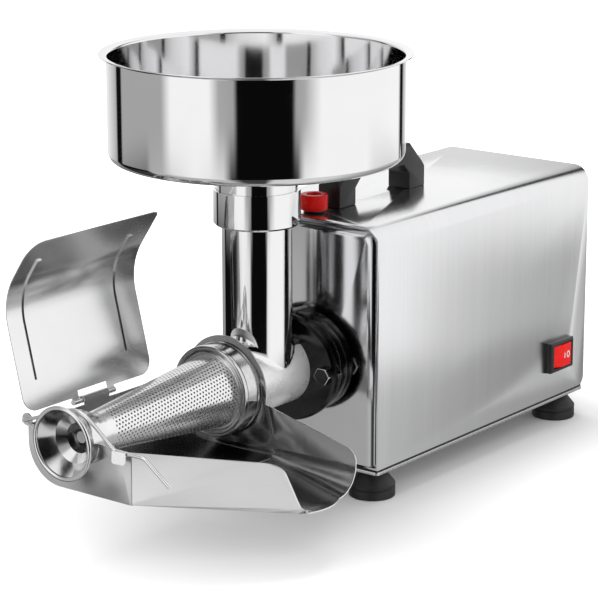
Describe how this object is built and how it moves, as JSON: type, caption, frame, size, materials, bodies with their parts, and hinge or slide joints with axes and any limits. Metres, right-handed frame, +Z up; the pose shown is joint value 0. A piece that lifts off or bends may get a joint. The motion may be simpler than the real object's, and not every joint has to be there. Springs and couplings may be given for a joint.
{
  "type": "electric tomato strainer",
  "caption": "Countertop strainer: a geared motor in a sheet housing turns an auger in a perforated cone, with a feed bowl, juice tray, splash guard and pulp outlet.",
  "frame": {"origin": "on the bench, midway between the four rubber feet", "axes": "+Z up, -Y towards the pulp outlet (the long way of the machine), +X towards the juice spout and the rocker switch"},
  "size_m": [0.2592, 0.6133, 0.3645],
  "materials": {
    "polished_steel": "mirror polished stainless steel",
    "brushed_sheet": "brushed stainless sheet",
    "tray_sheet": "satin stainless sheet",
    "cast_steel": "satin cast stainless",
    "zinc_screws": "turned steel",
    "gear_steel": "oiled machined steel",
    "cast_aluminium": "as cast",
    "motor_paint": "dark grey enamel",
    "black_rubber": "matte black",
    "black_plastic": "fine grain black",
    "red_plastic": "gloss red",
    "grey_plastic": "moulded grey"
  },
  "bodies": {
    "machine": {"head_casting": "polished_steel", "ring_nut": "polished_steel", "outlet_horn": "polished_steel", "front_panel": "polished_steel", "housing_cover": "brushed_sheet", "back_panel": "brushed_sheet", "base_plate": "brushed_sheet", "screen_cone": "brushed_sheet", "juice_tray": "tray_sheet", "gearbox_flange": "cast_steel", "foot_screws": "zinc_screws", "foot_nuts": "zinc_screws", "cover_screws": "zinc_screws", "handle_screws": "zinc_screws", "flange_screws": "zinc_screws", "flange_bolts": "zinc_screws", "flange_nuts": "zinc_screws", "motor_cradle": "zinc_screws", "front_bearing": "gear_steel", "rear_bearing": "gear_steel", "layshaft_front_bearing": "gear_steel", "layshaft_rear_bearing": "gear_steel", "motor_front_bearing": "gear_steel", "motor_rear_bearing": "gear_steel", "gearbox_case": "cast_aluminium", "gearbox_cover": "cast_aluminium", "run_capacitor": "cast_aluminium", "motor_case": "motor_paint", "rubber_feet": "black_rubber", "base_gasket": "black_rubber", "shaft_seal": "black_rubber", "carry_handle": "black_plastic", "button_collar": "black_plastic", "switch_bezel": "black_plastic", "cable_gland": "black_plastic", "gland_nut": "black_plastic", "button_switch": "black_plastic"},
    "hopper": {"hopper_bowl": "polished_steel", "hopper_spigot": "polished_steel"},
    "guard": {"splash_guard": "polished_steel"},
    "clip": {"wire_clip": "polished_steel"},
    "rocker": {"switch_rocker": "red_plastic"},
    "button": {"reset_button": "red_plastic"},
    "auger_drive": {"auger": "cast_steel", "output_shaft": "gear_steel", "output_gear": "gear_steel"},
    "lay_drive": {"layshaft": "gear_steel", "layshaft_gear": "gear_steel", "layshaft_pinion": "gear_steel"},
    "motor_drive": {"motor_rotor": "gear_steel", "motor_pinion": "gear_steel", "cooling_fan": "grey_plastic"}
  },
  "joints": [
    {"name": "hopper_lift", "type": "slide", "parent": "machine", "child": "hopper", "axis": [0, 0, 1], "range_m": [0, 0.04]},
    {"name": "guard_hinge", "type": "hinge", "parent": "machine", "child": "guard", "pos_m": [-0.0535, -0.347, 0.1125], "axis": [0, 1, 0], "range_deg": [0, 72]},
    {"name": "clip_hinge", "type": "hinge", "parent": "machine", "child": "clip", "pos_m": [-0.0521, -0.4254, 0.1125], "axis": [0, -1, 0], "range_deg": [0, 100]},
    {"name": "rocker_tilt", "type": "hinge", "parent": "machine", "child": "rocker", "pos_m": [0.08, 0.114, 0.0653], "axis": [0, 0, 1], "range_deg": [0, 18]},
    {"name": "button_press", "type": "slide", "parent": "machine", "child": "button", "axis": [0, 0, -1], "range_m": [0, 0.002], "stiffness_N_per_m": 800, "springref_m": -0.002},
    {"name": "motor_spin", "type": "hinge", "parent": "machine", "child": "motor_drive", "pos_m": [0, -0.1, 0.16], "axis": [0, 1, 0], "continuous": true},
    {"name": "layshaft_spin", "type": "hinge", "parent": "machine", "child": "lay_drive", "pos_m": [0.02927, -0.12, 0.14477], "axis": [0, 1, 0], "continuous": true},
    {"name": "auger_spin", "type": "hinge", "parent": "machine", "child": "auger_drive", "pos_m": [0, -0.2, 0.108], "axis": [0, 1, 0], "continuous": true}
  ],
  "couplings": [
    {"joint": "layshaft_spin", "follows": "motor_spin", "ratio": -0.33333},
    {"joint": "auger_spin", "follows": "motor_spin", "ratio": 0.10185}
  ]
}
